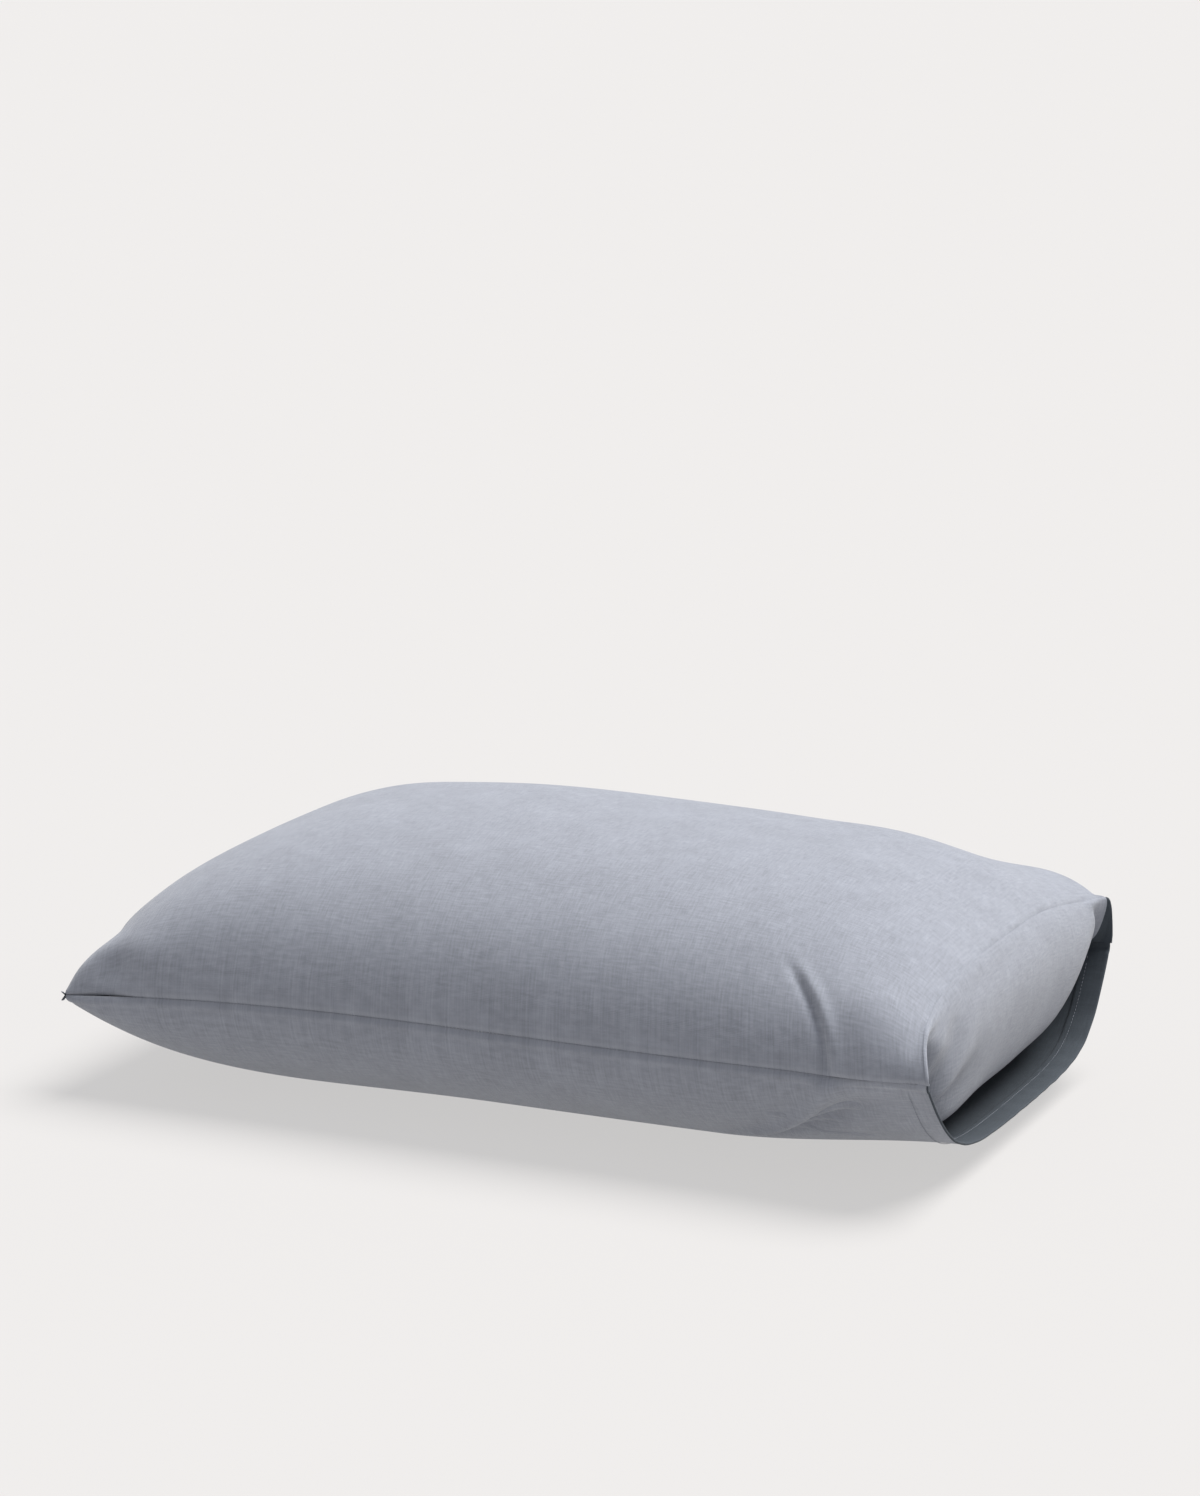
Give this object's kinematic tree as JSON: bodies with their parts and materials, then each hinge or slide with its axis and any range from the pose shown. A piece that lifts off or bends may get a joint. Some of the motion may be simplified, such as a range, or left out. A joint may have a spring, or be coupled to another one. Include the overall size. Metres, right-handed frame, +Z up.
{
  "type": "bed pillow",
  "caption": "Plump rectangular bed pillow: a fibre-filled insert inside a plain envelope pillowcase with a tucked flap at its open end.",
  "frame": {"origin": "middle of the footprint, on the surface the pillow lies on", "axes": "+X from the sewn closed end to the open mouth, +Y across to the far side seam, +Z up"},
  "size_m": [0.7, 0.412, 0.2169],
  "materials": {
    "case_cloth": "matte fine plain weave, grey-blue",
    "case_thread": "matte sewing thread, grey-blue",
    "ticking_cloth": "matte close-woven cotton ticking, off-white",
    "ticking_thread": "matte sewing thread, white",
    "fibre_fill": "loose polyester fibre, white",
    "label_cloth": "satin ribbon, white, blank"
  },
  "bodies": {
    "case": {"case_top_panel": "case_cloth", "case_bottom_panel": "case_cloth", "case_flap": "case_cloth", "case_mouth_hem": "case_cloth", "case_flap_hem": "case_cloth", "case_near_seam_thread": "case_thread", "case_far_seam_thread": "case_thread", "case_closed_end_thread": "case_thread", "case_flap_seam_thread": "case_thread", "case_mouth_hem_thread": "case_thread", "case_flap_hem_thread": "case_thread", "case_care_label": "label_cloth"},
    "insert": {"insert_ticking_top": "ticking_cloth", "insert_ticking_bottom": "ticking_cloth", "insert_fill": "fibre_fill", "insert_piping": "ticking_cloth", "insert_seam_thread": "ticking_thread", "insert_care_label": "label_cloth"}
  },
  "joints": [
    {"name": "insert_slide", "type": "slide", "parent": "case", "child": "insert", "axis": [1, 0, 0], "range_m": [0, 0.72], "deforming": ["case_top_panel", "case_bottom_panel", "case_flap", "case_mouth_hem", "case_flap_hem", "case_near_seam_thread", "case_far_seam_thread", "case_closed_end_thread", "case_flap_seam_thread", "case_mouth_hem_thread", "case_flap_hem_thread", "case_care_label"]}
  ]
}
